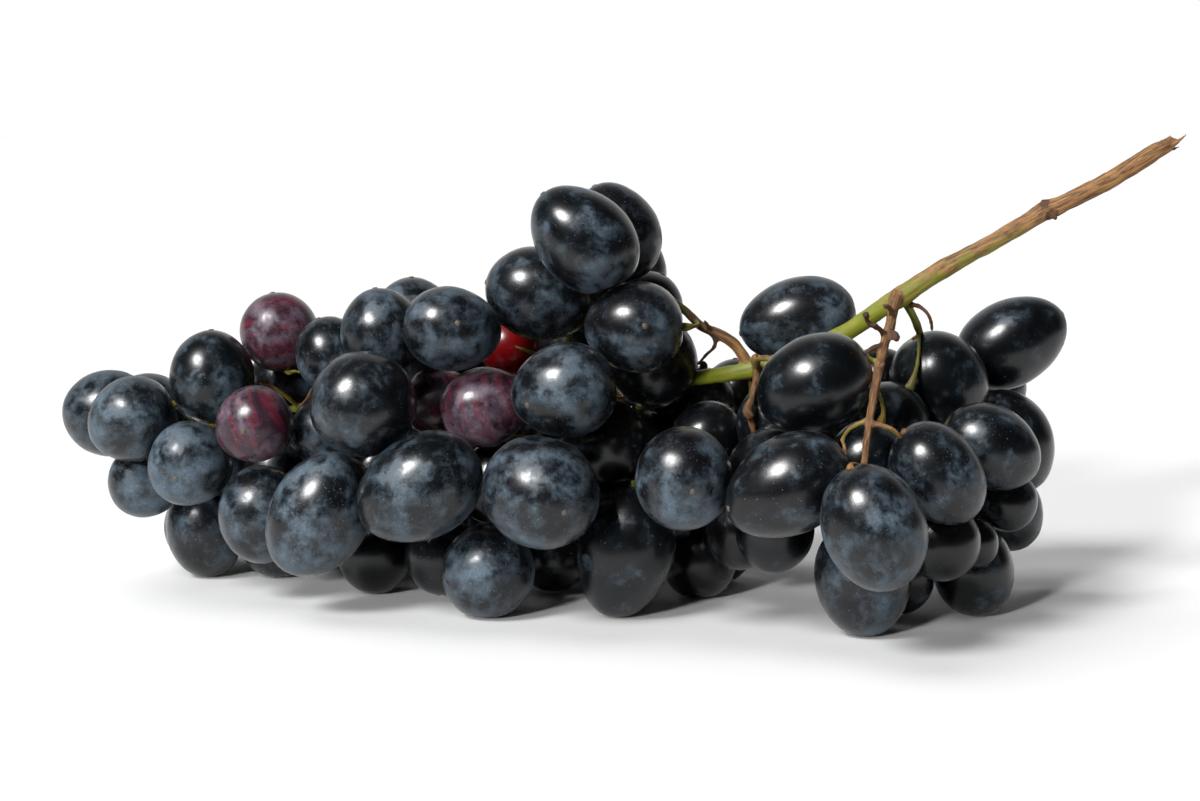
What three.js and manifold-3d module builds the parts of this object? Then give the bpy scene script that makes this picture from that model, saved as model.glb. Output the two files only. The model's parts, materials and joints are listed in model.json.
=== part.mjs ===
// A bunch of dark table grapes, picked and lying on its side with its stalk pointing up to the right.
// Millimetres, +Z up, standing on z = 0, with the origin under the middle of the whole bunch.
// The stalk with all its twigs is one grown piece. The berries hang together in sprays.
import * as THREE from "three";
import { mergeVertices } from "three/addons/utils/BufferGeometryUtils.js";
import Module from "manifold-3d";

const wasm = await Module();
wasm.setup();

// How the picture of the bunch was measured: a column and a row of a 1200 x 801 picture and a depth
// behind its middle plane give one place. The eye looks slightly down from the front.
const PICTURE_MIDDLE = { column: 600, row: 400.5 };
const EYE_DISTANCE = 520;
const MM_PER_PIXEL = 0.21;
const EYE_ELEVATION = THREE.MathUtils.degToRad(7);
const AIM_HEIGHT = 46.3;

// Berries
const BERRY_SIDES = 8;
const BERRY_BANDS = 5;
const FACET_ALLOWANCE = 1.03;
const CORE_RADIUS = 3.2;
const CORE_SIDES = 4;
const SPRAY_PRESS = 1.2;
const CORELESS_PRESS = 0.9;
const CLEARANCE = 0.7;
const GAP = 0.3;
const FLAT_DEPTH = 0.35;

// How the berries settle against each other
const SETTLE_ROUNDS = 120;
const VISIBLE_DRIFT = 12;
const HIDDEN_DRIFT = 8;
const SIGHT_GAIN = 1.4;

// Twigs
const STALK_SIDES = 8;
const TWIG_SIDES = 5;
const PEDICEL_SIDES = 4;
const STALK_STEP = 13;
const TWIG_STEP = 7;
const PEDICEL_STEPS = 2;
const PEDICEL_RADIUS = 0.7;
const PEDICEL_FLARE = 1.35;
const PEDICEL_BEND = 0.35;
const PEDICEL_REACH = 15;
const PEDICEL_SHORT = 0.8;
const TWIG_SAMPLE = 2.5;
const LEAST_STEPS = 3;

// Ground that flattens the berries which lie on it
const GROUND_SIZE = 600;
const GROUND_DEPTH = 60;

// Colours and finishes
const DARK_SKIN = { color: 0x2e3440, roughness: 0.42, metalness: 0 };
const PURPLE_SKIN = { color: 0x6d5360, roughness: 0.45, metalness: 0 };
const RED_SKIN = { color: 0x8e2430, roughness: 0.3, metalness: 0 };
const GREEN_STALK = { color: 0x8d8a44, roughness: 0.6, metalness: 0 };

// Each berry: column and row of its middle, depth, width, length, and the lean of its long axis,
// counted anticlockwise from the right. "low" berries rest on the ground, so their depth follows
// from their row. "hidden" ones lie behind others and may move every way as the bunch settles.
const BERRIES = {
  berries_tip: [
    { column: 109, row: 413, depth: 44, wide: 19.8, long: 21.0, lean: 180 },
    { column: 132, row: 420, depth: 26, wide: 19.0, long: 19.8, lean: 200 },
    { column: 145, row: 481, depth: 38, wide: 16.5, long: 17.0, lean: 230 },
    { column: 189, row: 464, depth: 22, wide: 18.4, long: 18.8, lean: 225 },
    { column: 212, row: 377, depth: 30, wide: 18.7, long: 20.9, lean: 90 },
    { column: 180, row: 425, depth: 60, wide: 18.0, long: 20.0, lean: 150, hidden: true },
  ],
  berries_left_low: [
    { column: 206, row: 530, depth: 42, wide: 18.2, long: 22.2, lean: 275, low: true },
    { column: 262, row: 514, depth: 16, wide: 19.0, long: 21.6, lean: 270 },
    { column: 278, row: 540, depth: 40, wide: 17.2, long: 17.6, lean: 270, low: true },
    { column: 285, row: 478, depth: 32, wide: 16.0, long: 17.0, lean: 250, hidden: true },
    { column: 225, row: 478, depth: 44, wide: 16.0, long: 17.5, lean: 240, hidden: true },
  ],
  berries_left_top: [
    { column: 331, row: 353, depth: 26, wide: 15.9, long: 16.4, lean: 110 },
    { column: 382, row: 331, depth: 16, wide: 18.2, long: 18.6, lean: 100 },
    { column: 413, row: 318, depth: 34, wide: 17.9, long: 18.2, lean: 95 },
    { column: 452, row: 329, depth: 6, wide: 17.8, long: 21.2, lean: 352 },
  ],
  berries_centre_left: [
    { column: 328, row: 431, depth: 18, wide: 16.0, long: 17.0, lean: 200 },
    { column: 363, row: 404, depth: 3, wide: 22.4, long: 22.6, lean: 200 },
    { column: 320, row: 514, depth: 4, wide: 21.2, long: 28.4, lean: 239 },
    { column: 375, row: 556, depth: 23, wide: 16.7, long: 17.4, lean: 270, low: true },
    { column: 419, row: 488, depth: -4, wide: 21.9, long: 28.1, lean: 211 },
    { column: 443, row: 556, depth: 14, wide: 16.8, long: 17.2, lean: 260 },
    { column: 375, row: 470, depth: 24, wide: 16.5, long: 18.0, lean: 240, hidden: true },
  ],
  berries_centre: [
    { column: 541, row: 492, depth: -12, wide: 23.4, long: 26.4, lean: 340, facing: 50 },
    { column: 488, row: 571, depth: 0, wide: 19.7, long: 20.4, lean: 250, low: true },
    { column: 553, row: 556, depth: 27, wide: 15.2, long: 16.0, lean: 270 },
    { column: 625, row: 553, depth: -4, wide: 20.4, long: 28.5, lean: 258, low: true },
    { column: 684, row: 478, depth: -14, wide: 20.0, long: 21.3, lean: 270 },
    { column: 607, row: 443, depth: 12, wide: 18.0, long: 18.4, lean: 300 },
    { column: 564, row: 391, depth: -3, wide: 20.0, long: 22.1, lean: 190 },
    { column: 602, row: 488, depth: 16, wide: 17.5, long: 19.5, lean: 260, hidden: true },
    { column: 525, row: 432, depth: 26, wide: 17.0, long: 19.0, lean: 250, hidden: true },
    { column: 500, row: 470, depth: 18, wide: 17.0, long: 18.5, lean: 250, hidden: true },
  ],
  berries_top: [
    { column: 540, row: 294, depth: 17, wide: 20.0, long: 23.9, lean: 165 },
    { column: 584, row: 239, depth: 2, wide: 19.8, long: 25.7, lean: 135 },
    { column: 617, row: 232, depth: 22, wide: 18.4, long: 22.3, lean: 115 },
    { column: 645, row: 309, depth: 32, wide: 16.5, long: 17.2, lean: 60 },
    { column: 634, row: 327, depth: 0, wide: 19.1, long: 21.0, lean: 180 },
    { column: 652, row: 362, depth: 18, wide: 20.0, long: 20.4, lean: 300 },
    { column: 590, row: 300, depth: 36, wide: 17.0, long: 18.5, lean: 120, hidden: true },
  ],
  berries_middle: [
    { column: 707, row: 438, depth: 6, wide: 15.6, long: 16.4, lean: 60 },
    { column: 737, row: 396, depth: 40, wide: 16.5, long: 17.0, lean: 90 },
    { column: 697, row: 405, depth: 36, wide: 17.0, long: 17.6, lean: 260 },
    { column: 699, row: 560, depth: 17, wide: 16.5, long: 17.4, lean: 270, low: true },
    { column: 648, row: 438, depth: 30, wide: 15.4, long: 16.6, lean: 250, hidden: true },
    { column: 672, row: 505, depth: 12, wide: 16.0, long: 18.0, lean: 250, hidden: true },
  ],
  berries_right_middle: [
    { column: 768, row: 468, depth: -4, wide: 16.2, long: 17.6, lean: 200 },
    { column: 787, row: 486, depth: -24, wide: 19.8, long: 26.3, lean: 210 },
    { column: 775, row: 530, depth: -8, wide: 16.5, long: 18.2, lean: 260 },
    { column: 742, row: 532, depth: 2, wide: 15.6, long: 16.6, lean: 250 },
    { column: 815, row: 384, depth: -16, wide: 20.0, long: 24.4, lean: 205 },
    { column: 797, row: 320, depth: 27, wide: 18.5, long: 26.2, lean: 193 },
    { column: 774, row: 426, depth: 1, wide: 16.0, long: 17.6, lean: 260 },
    { column: 822, row: 440, depth: 8, wide: 16.0, long: 17.5, lean: 260, hidden: true },
    { column: 765, row: 520, depth: 20, wide: 16.0, long: 18.0, lean: 270, hidden: true },
  ],
  berries_right_rear: [
    { column: 880, row: 386, depth: 22, wide: 16.6, long: 17.4, lean: 120 },
    { column: 888, row: 424, depth: 2, wide: 17.3, long: 18.0, lean: 240 },
    { column: 940, row: 384, depth: 14, wide: 20.7, long: 23.3, lean: 300 },
    { column: 1012, row: 342, depth: 28, wide: 19.0, long: 25.7, lean: 30 },
    { column: 1008, row: 442, depth: 20, wide: 19.6, long: 23.5, lean: 300 },
    { column: 991, row: 447, depth: -8, wide: 17.2, long: 21.7, lean: 331 },
  ],
  berries_right_front: [
    { column: 938, row: 474, depth: -27, wide: 17.5, long: 22.7, lean: 308 },
    { column: 866, row: 462, depth: -10, wide: 15.6, long: 17.6, lean: 250 },
    { column: 874, row: 528, depth: -40, wide: 20.2, long: 25.6, lean: 292 },
    { column: 863, row: 579, depth: -21, wide: 19.8, long: 24.2, lean: 275, low: true },
    { column: 941, row: 541, depth: -14, wide: 16.2, long: 16.5, lean: 300 },
    { column: 1005, row: 500, depth: 6, wide: 13.6, long: 14.0, lean: 320 },
    { column: 974, row: 543, depth: -3, wide: 10.4, long: 10.8, lean: 300 },
    { column: 972, row: 568, depth: 2, wide: 17.3, long: 21.5, lean: 285, low: true },
    { column: 900, row: 575, depth: 0, wide: 15.0, long: 16.8, lean: 265 },
    { column: 915, row: 505, depth: 4, wide: 16.0, long: 17.5, lean: 270, hidden: true },
  ],
  berries_back_left: [
    { column: 235, row: 398, depth: 52, wide: 17.5, long: 20.0, lean: 120, hidden: true },
    { column: 300, row: 380, depth: 50, wide: 17.5, long: 19.5, lean: 100, hidden: true },
    { column: 207, row: 520, depth: 60, wide: 17.0, long: 19.0, lean: 250, hidden: true, low: true },
    { column: 268, row: 522, depth: 58, wide: 17.5, long: 20.0, lean: 270, hidden: true },
    { column: 255, row: 455, depth: 60, wide: 18.5, long: 21.0, lean: 200, hidden: true },
    { column: 325, row: 446, depth: 60, wide: 18.0, long: 22.0, lean: 190, hidden: true },
    { column: 338, row: 524, depth: 50, wide: 18.5, long: 20.5, lean: 265, hidden: true, low: true },
    { column: 330, row: 478, depth: 44, wide: 17.0, long: 19.0, lean: 230, hidden: true },
  ],
  berries_back_middle: [
    { column: 362, row: 374, depth: 50, wide: 18.0, long: 20.5, lean: 95, hidden: true },
    { column: 437, row: 364, depth: 50, wide: 18.5, long: 20.0, lean: 90, hidden: true },
    { column: 392, row: 440, depth: 60, wide: 19.0, long: 22.5, lean: 180, hidden: true },
    { column: 470, row: 435, depth: 60, wide: 19.5, long: 22.0, lean: 10, hidden: true },
    { column: 412, row: 526, depth: 50, wide: 18.5, long: 21.0, lean: 260, hidden: true, low: true },
    { column: 487, row: 524, depth: 50, wide: 18.0, long: 22.0, lean: 275, hidden: true },
    { column: 510, row: 362, depth: 54, wide: 18.0, long: 20.0, lean: 85, hidden: true },
    { column: 450, row: 480, depth: 42, wide: 17.5, long: 19.0, lean: 240, hidden: true },
  ],
  berries_back_top: [
    { column: 572, row: 342, depth: 48, wide: 18.5, long: 21.5, lean: 90, hidden: true },
    { column: 626, row: 290, depth: 48, wide: 17.5, long: 20.0, lean: 75, hidden: true },
    { column: 545, row: 420, depth: 58, wide: 18.5, long: 22.0, lean: 0, hidden: true },
    { column: 640, row: 368, depth: 50, wide: 18.0, long: 21.0, lean: 60, hidden: true },
    { column: 618, row: 440, depth: 54, wide: 19.0, long: 21.0, lean: 350, hidden: true },
    { column: 562, row: 526, depth: 48, wide: 18.0, long: 21.0, lean: 270, hidden: true, low: true },
    { column: 638, row: 518, depth: 46, wide: 18.0, long: 20.0, lean: 280, hidden: true },
    { column: 545, row: 480, depth: 42, wide: 17.5, long: 19.0, lean: 260, hidden: true },
    { column: 662, row: 420, depth: 52, wide: 17.5, long: 20.0, lean: 300, hidden: true },
  ],
  berries_back_right: [
    { column: 697, row: 440, depth: 56, wide: 18.0, long: 21.0, lean: 340, hidden: true },
    { column: 772, row: 402, depth: 54, wide: 18.0, long: 20.5, lean: 80, hidden: true },
    { column: 712, row: 524, depth: 40, wide: 17.0, long: 20.0, lean: 270, hidden: true, low: true },
    { column: 782, row: 470, depth: 42, wide: 18.0, long: 21.0, lean: 340, hidden: true },
    { column: 845, row: 405, depth: 42, wide: 17.5, long: 20.5, lean: 70, hidden: true },
    { column: 855, row: 465, depth: 36, wide: 18.0, long: 21.0, lean: 300, hidden: true },
  ],
  berries_far_right: [
    { column: 918, row: 412, depth: 40, wide: 17.5, long: 21.0, lean: 60, hidden: true },
    { column: 975, row: 395, depth: 45, wide: 17.5, long: 20.0, lean: 20, hidden: true },
    { column: 935, row: 468, depth: 34, wide: 18.0, long: 21.0, lean: 300, hidden: true },
    { column: 868, row: 528, depth: 22, wide: 17.5, long: 20.0, lean: 270, hidden: true, low: true },
    { column: 935, row: 524, depth: 24, wide: 17.5, long: 19.0, lean: 280, hidden: true },
    { column: 985, row: 488, depth: 30, wide: 17.0, long: 19.0, lean: 300, hidden: true },
  ],
  berry_purple_high: [
    { column: 279, row: 332, depth: 30, wide: 17.5, long: 17.8, lean: 100 },
  ],
  berry_purple_left: [
    { column: 254, row: 424.5, depth: 14, wide: 16.4, long: 17.0, lean: 210 },
  ],
  berries_purple_middle: [
    { column: 436, row: 402, depth: 26, wide: 15.4, long: 16.0, lean: 195 },
    { column: 485, row: 407, depth: 12, wide: 17.2, long: 19.3, lean: 15 },
  ],
  berry_red: [
    { column: 508, row: 345, depth: 34, wide: 13.4, long: 14.6, lean: 170 },
  ],
};

// Each twig: its places from the root outwards as column, row and depth, and its radius at both ends.
const STALK = {
  places: [
    [1176, 141, -8], [1150, 155, -8], [1110, 180, -6], [1045, 212, -3], [1000, 238, -2],
    [945, 268, 0], [900, 297, 2], [845, 333, 8], [800, 352, 12], [760, 368, 14], [698, 378, 17],
    [650, 386, 27], [600, 390, 34], [500, 396, 36], [400, 402, 38], [300, 408, 40], [215, 419, 40],
  ],
  outer: 2.0,
  inner: 0.9,
};
const KNUCKLES = [
  { column: 1045, row: 212, depth: -3, radius: 2.5 },
  { column: 945, row: 268, depth: 0, radius: 2.5 },
  { column: 898, row: 297, depth: 2, radius: 2.7 },
];
const TWIGS = [
  // Shoulder arc to the top spray
  { places: [[752, 374, 15], [745, 360, 15], [735, 345, 15], [720, 335, 15], [700, 325, 16], [683, 309, 17],
    [655, 292, 18], [610, 290, 20]], outer: 1.5, inner: 0.9 },
  // Dry hook under the arc
  { places: [[712, 332, 16], [715, 345, 15], [706, 355, 15], [698, 364, 15]], outer: 0.75, inner: 0.5 },
  // Brown twig beside the middle right spray
  { places: [[757, 366, 13], [756, 380, 4], [752, 398, -4], [749, 412, -6], [753, 428, -6], [756, 440, -5]],
    outer: 1.1, inner: 0.7 },
  // Short pedicel to the large berry on its right
  { places: [[755, 372, 9], [757, 361, 3], [766, 358, -4], [780, 362, -9]], outer: 0.9, inner: 0.9 },
  // Front lateral down to the foremost berry
  { places: [[898, 292, 2], [893, 310, -3], [889, 328, -8], [884, 345, -12], [879, 368, -17],
    [874, 395, -23], [869, 425, -29], [866, 448, -34], [864, 466, -38]], outer: 1.5, inner: 0.9 },
  // Its side pedicels and dry stubs
  { places: [[871, 418, -28], [858, 424, -28], [848, 430, -27], [842, 440, -26]], outer: 0.75, inner: 0.65 },
  { places: [[870, 422, -28], [880, 425, -30], [892, 429, -30], [902, 438, -29]], outer: 0.75, inner: 0.65 },
  { places: [[886, 338, -10], [876, 326, -12], [866, 314, -13]], outer: 1.0, inner: 0.7 },
  { places: [[893, 318, -5], [890, 308, -8], [886, 302, -9]], outer: 0.9, inner: 0.6 },
  { places: [[884, 345, -12], [875, 347, -14], [867, 352, -15]], outer: 0.9, inner: 0.6 },
  // Rear lateral to the right hand berries
  { places: [[902, 297, 3], [911, 312, 5], [917, 325, 8], [921, 340, 14], [930, 385, 30], [950, 425, 30],
    [945, 470, 16], [930, 520, 6]], outer: 1.3, inner: 0.9 },
  { places: [[935, 400, 31], [962, 395, 34], [985, 400, 34]], outer: 1.0, inner: 0.9 },
  // Dark hook above the berry on the right
  { places: [[908, 304, 4], [920, 307, 2], [929, 316, 1], [932, 330, 3]], outer: 0.7, inner: 0.5 },
  // Laterals inside the bunch, from the stalk down and out to the sprays
  { places: [[845, 333, 8], [850, 370, 14], [845, 430, 14], [830, 480, 12]], outer: 1.2, inner: 0.9 },
  { places: [[751, 371, 15], [753, 388, 20], [750, 410, 24], [730, 450, 24], [715, 480, 22], [705, 520, 18]], outer: 1.3, inner: 0.9 },
  { places: [[640, 387, 28], [640, 440, 30], [625, 490, 26]], outer: 1.3, inner: 0.9 },
  { places: [[540, 394, 35], [545, 440, 30], [525, 500, 28]], outer: 1.3, inner: 0.9 },
  { places: [[430, 400, 37], [420, 440, 34], [395, 490, 32]], outer: 1.2, inner: 0.9 },
  { places: [[320, 407, 40], [315, 450, 38], [265, 500, 40]], outer: 1.1, inner: 0.8 },
  { places: [[576, 391, 35], [566, 360, 37], [572, 320, 35]], outer: 1.1, inner: 0.8 },
  { places: [[470, 398, 37], [450, 370, 36], [415, 355, 34]], outer: 1.1, inner: 0.8 },
  // Light pedicels at the left
  { places: [[215, 419, 40], [203, 420, 37], [190, 416, 35], [177, 406, 35]], outer: 0.9, inner: 0.9 },
  { places: [[300, 408, 40], [288, 398, 36], [275, 388, 33], [258, 379, 32]], outer: 0.7, inner: 0.7 },
  { places: [[300, 408, 40], [312, 390, 36], [314, 378, 34], [300, 372, 33], [284, 371, 32]],
    outer: 0.7, inner: 0.6 },
];

const sight = {
  eye: new THREE.Vector3(
    0,
    -EYE_DISTANCE * Math.cos(EYE_ELEVATION),
    AIM_HEIGHT + EYE_DISTANCE * Math.sin(EYE_ELEVATION),
  ),
  forward: new THREE.Vector3(0, Math.cos(EYE_ELEVATION), -Math.sin(EYE_ELEVATION)),
  up: new THREE.Vector3(0, Math.sin(EYE_ELEVATION), Math.cos(EYE_ELEVATION)),
  focal: EYE_DISTANCE / MM_PER_PIXEL,
};

// Unit direction from the eye through a column and a row
function sightLine(column, row) {
  const line = sight.forward.clone();
  line.x += (column - PICTURE_MIDDLE.column) / sight.focal;
  line.addScaledVector(sight.up, (PICTURE_MIDDLE.row - row) / sight.focal);
  return line.normalize();
}

// Place on that line at a depth, which is its y
function place(column, row, depth) {
  const line = sightLine(column, row);
  return sight.eye.clone().addScaledVector(line, (depth - sight.eye.y) / line.y);
}

// Long axis of a berry, from its stalk end to its blossom end
function longAxis(lean, facing = 0) {
  const turn = THREE.MathUtils.degToRad(lean);
  const towards = THREE.MathUtils.degToRad(facing);
  return new THREE.Vector3(
    Math.cos(turn) * Math.cos(towards),
    -Math.sin(towards),
    Math.sin(turn) * Math.cos(towards),
  );
}

// Distance from a berry's middle to its skin along a unit direction
function reach(berry, direction) {
  const along = direction.dot(berry.axis) / (berry.long / 2);
  const across = (1 - direction.dot(berry.axis) ** 2) / (berry.wide / 2) ** 2;
  return 1 / Math.sqrt(along ** 2 + across);
}

// Height of a berry's middle above its lowest point
function halfHeight(berry) {
  const rise = berry.axis.z;
  return Math.sqrt((rise * berry.long / 2) ** 2 + (1 - rise ** 2) * (berry.wide / 2) ** 2);
}

// Lowers a low berry until it sinks the depth of its flat spot into the ground: a hidden one straight
// down, the others along their sight line
function lowerToGround(berry) {
  const height = halfHeight(berry) - FLAT_DEPTH;
  if (berry.hidden) {
    berry.middle.z = height;
    return;
  }
  berry.middle.copy(sight.eye).addScaledVector(berry.line, (height - sight.eye.z) / berry.line.z);
}

function layOut() {
  const berries = [];
  for (const [spray, rows] of Object.entries(BERRIES)) {
    for (const row of rows) {
      const berry = {
        ...row,
        spray,
        axis: longAxis(row.lean, row.facing),
        line: sightLine(row.column, row.row),
        middle: place(row.column, row.row, row.depth),
      };
      if (berry.low) {
        lowerToGround(berry);
      }
      berry.start = berry.middle.clone();
      berries.push(berry);
    }
  }
  return berries;
}

// Moves a berry by a push: a hidden one freely, the others only along their sight line
function shove(berry, push) {
  if (berry.low && !berry.hidden) {
    return;
  }
  if (berry.hidden) {
    berry.middle.add(push);
  } else {
    berry.middle.addScaledVector(berry.line, push.dot(berry.line) * SIGHT_GAIN);
  }
  const drift = berry.middle.clone().sub(berry.start);
  const limit = berry.hidden ? HIDDEN_DRIFT : VISIBLE_DRIFT;
  if (drift.length() > limit) {
    berry.middle.copy(berry.start).addScaledVector(drift.normalize(), limit);
  }
  const lowest = halfHeight(berry) - FLAT_DEPTH;
  if (berry.hidden && (berry.low || berry.middle.z < lowest)) {
    berry.middle.z = lowest;
  }
}

// Pushes overlapping neighbours apart until they only press lightly on each other
function settle(berries) {
  for (let round = 0; round < SETTLE_ROUNDS; round += 1) {
    for (let first = 0; first < berries.length; first += 1) {
      for (let second = first + 1; second < berries.length; second += 1) {
        const one = berries[first];
        const other = berries[second];
        const between = other.middle.clone().sub(one.middle);
        const distance = between.length();
        between.normalize();
        const spare = one.spray === other.spray ? -SPRAY_PRESS : CLEARANCE;
        const wanted = reach(one, between) + reach(other, between) + spare;
        if (distance < wanted) {
          const half = (wanted - distance) / 2;
          shove(one, between.clone().multiplyScalar(-half));
          shove(other, between.clone().multiplyScalar(half));
        }
      }
    }
  }
}

// Closed solid from a geometry whose doubled corners are merged
function toSolid(geometry) {
  geometry.deleteAttribute("normal");
  geometry.deleteAttribute("uv");
  const merged = mergeVertices(geometry);
  return new wasm.Manifold(new wasm.Mesh({
    numProp: 3,
    vertProperties: new Float32Array(merged.attributes.position.array),
    triVerts: new Uint32Array(merged.index.array),
  }));
}

// One berry, grown by a margin all round
function berrySolid(berry, margin = 0) {
  const geometry = new THREE.SphereGeometry(1, BERRY_SIDES, BERRY_BANDS);
  const across = (berry.wide / 2) * FACET_ALLOWANCE + margin;
  const along = (berry.long / 2) * FACET_ALLOWANCE + margin;
  const turn = new THREE.Quaternion().setFromUnitVectors(new THREE.Vector3(0, 1, 0), berry.axis);
  const size = new THREE.Vector3(across, along, across);
  geometry.applyMatrix4(new THREE.Matrix4().compose(berry.middle, turn, size));
  return toSolid(geometry);
}

// Straight core between two berries' middles
function coreSolid(from, to, margin = 0) {
  const span = to.clone().sub(from);
  const radius = CORE_RADIUS + margin;
  const geometry = new THREE.CylinderGeometry(radius, radius, span.length(), CORE_SIDES);
  const turn = new THREE.Quaternion().setFromUnitVectors(
    new THREE.Vector3(0, 1, 0),
    span.clone().normalize(),
  );
  const middle = from.clone().addScaledVector(span, 0.5);
  geometry.applyMatrix4(new THREE.Matrix4().compose(middle, turn, new THREE.Vector3(1, 1, 1)));
  return toSolid(geometry);
}

// Pairs that join a spray's berries in one tree, always by the narrowest gap left
function neighbourPairs(members) {
  const joined = [members[0]];
  const waiting = members.slice(1);
  const pairs = [];
  while (waiting.length > 0) {
    let best = { gap: Infinity };
    for (const inside of joined) {
      for (const outside of waiting) {
        const between = outside.middle.clone().sub(inside.middle);
        const distance = between.length();
        between.normalize();
        const gap = distance - reach(inside, between) - reach(outside, between);
        if (gap < best.gap) {
          best = { gap, inside, outside };
        }
      }
    }
    pairs.push(best);
    joined.push(best.outside);
    waiting.splice(waiting.indexOf(best.outside), 1);
  }
  return pairs;
}

function spraySolid(members, margin = 0) {
  const solids = members.map((berry) => berrySolid(berry, margin));
  for (const pair of neighbourPairs(members)) {
    if (pair.gap > -CORELESS_PRESS) {
      solids.push(coreSolid(pair.inside.middle, pair.outside.middle, margin));
    }
  }
  return wasm.Manifold.union(solids);
}

// Closed round bar bent along a curve, its radius changing evenly from end to end
function barSolid(curve, steps, sides, startRadius, endRadius, margin = 0) {
  const geometry = new THREE.CylinderGeometry(1, 1, 1, sides, steps);
  const frames = curve.computeFrenetFrames(steps);
  const corners = geometry.attributes.position;
  const corner = new THREE.Vector3();
  for (let index = 0; index < corners.count; index += 1) {
    corner.fromBufferAttribute(corners, index);
    const along = THREE.MathUtils.clamp(0.5 - corner.y, 0, 1);
    const station = Math.round(along * steps);
    const radius = THREE.MathUtils.lerp(startRadius, endRadius, along) + margin;
    const spot = curve.getPointAt(along);
    const overrun = margin * Math.sign(along - 0.5) * Math.floor(Math.abs(along - 0.5) * 2);
    spot.addScaledVector(frames.tangents[station], overrun);
    spot.addScaledVector(frames.normals[station], corner.x * radius);
    spot.addScaledVector(frames.binormals[station], corner.z * radius);
    corners.setXYZ(index, spot.x, spot.y, spot.z);
  }
  return toSolid(geometry);
}

function twigCurve(places) {
  const points = places.map(([column, row, depth]) => place(column, row, depth));
  return new THREE.CatmullRomCurve3(points, false, "centripetal");
}

// Places along the stalk and the twigs where a pedicel may start
function twigSamples(curves) {
  const samples = [];
  for (const curve of curves) {
    const count = Math.ceil(curve.getLength() / TWIG_SAMPLE);
    samples.push(...curve.getSpacedPoints(count));
  }
  return samples;
}

// Short bent pedicel from the nearest twig to a berry's stalk end
function pedicelCurve(berry, samples) {
  const foot = berry.middle.clone().addScaledVector(berry.axis, -berry.long / 2 - PEDICEL_SHORT);
  let root = samples[0];
  for (const sample of samples) {
    if (sample.distanceTo(foot) < root.distanceTo(foot)) {
      root = sample;
    }
  }
  const bend = root.distanceTo(foot) * PEDICEL_BEND;
  const knee = foot.clone().addScaledVector(berry.axis, -bend);
  return new THREE.QuadraticBezierCurve3(root.clone(), knee, foot);
}

function stemSolid(berries, margin = 0) {
  const stalk = twigCurve(STALK.places);
  const stalkSteps = Math.ceil(stalk.getLength() / STALK_STEP);
  const solids = [barSolid(stalk, stalkSteps, STALK_SIDES, STALK.outer, STALK.inner, margin)];
  const curves = [stalk];
  for (const twig of TWIGS) {
    const curve = twigCurve(twig.places);
    const steps = Math.max(LEAST_STEPS, Math.ceil(curve.getLength() / TWIG_STEP));
    solids.push(barSolid(curve, steps, TWIG_SIDES, twig.outer, twig.inner, margin));
    curves.push(curve);
  }
  for (const knuckle of KNUCKLES) {
    const geometry = new THREE.SphereGeometry(knuckle.radius + margin, STALK_SIDES, BERRY_BANDS);
    const middle = place(knuckle.column, knuckle.row, knuckle.depth);
    geometry.translate(middle.x, middle.y, middle.z);
    solids.push(toSolid(geometry));
  }
  const samples = twigSamples(curves);
  for (const berry of berries.filter((one) => !one.hidden)) {
    const curve = pedicelCurve(berry, samples);
    if (curve.getLength() > PEDICEL_REACH) {
      continue;
    }
    solids.push(barSolid(curve, PEDICEL_STEPS, PEDICEL_SIDES, PEDICEL_RADIUS, PEDICEL_FLARE, margin));
  }
  return wasm.Manifold.union(solids);
}

// The largest body of a cut solid, without loose scraps or sealed hollows
function wholeBody(cut) {
  const bodies = cut.decompose();
  return bodies.reduce((best, body) => (body.volume() > best.volume() ? body : best));
}

function toMesh(name, body, finish) {
  const { vertProperties, triVerts } = body.getMesh();
  const geometry = new THREE.BufferGeometry();
  geometry.setAttribute("position", new THREE.BufferAttribute(new Float32Array(vertProperties), 3));
  geometry.setIndex(new THREE.BufferAttribute(new Uint32Array(triVerts), 1));
  geometry.computeVertexNormals();
  const mesh = new THREE.Mesh(geometry, new THREE.MeshStandardMaterial(finish));
  mesh.name = name;
  return mesh;
}

function skinOf(spray) {
  if (spray.includes("purple")) {
    return PURPLE_SKIN;
  }
  return spray.includes("red") ? RED_SKIN : DARK_SKIN;
}

function buildBunch() {
  const berries = layOut();
  settle(berries);
  const ground = new THREE.BoxGeometry(GROUND_SIZE, GROUND_SIZE, GROUND_DEPTH);
  ground.translate(0, 0, -GROUND_DEPTH / 2);
  const groundSolid = toSolid(ground);
  const bunch = new THREE.Group();
  const stem = wholeBody(stemSolid(berries));
  bunch.add(toMesh("stem", stem, GREEN_STALK));
  let taken = wasm.Manifold.union([stem, stemSolid(berries, GAP), groundSolid]);
  for (const spray of Object.keys(BERRIES)) {
    const members = berries.filter((berry) => berry.spray === spray);
    const body = wholeBody(spraySolid(members).subtract(taken));
    bunch.add(toMesh(spray, body, skinOf(spray)));
    taken = taken.add(spraySolid(members, GAP));
  }
  return bunch;
}

// Moves the origin under the middle of the bunch's box
function centreOnOrigin(bunch) {
  const box = new THREE.Box3().setFromObject(bunch);
  const middle = box.getCenter(new THREE.Vector3());
  for (const mesh of bunch.children) {
    mesh.geometry.translate(-middle.x, -middle.y, 0);
  }
}

const bunch = buildBunch();
centreOnOrigin(bunch);

export default bunch;
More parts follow.
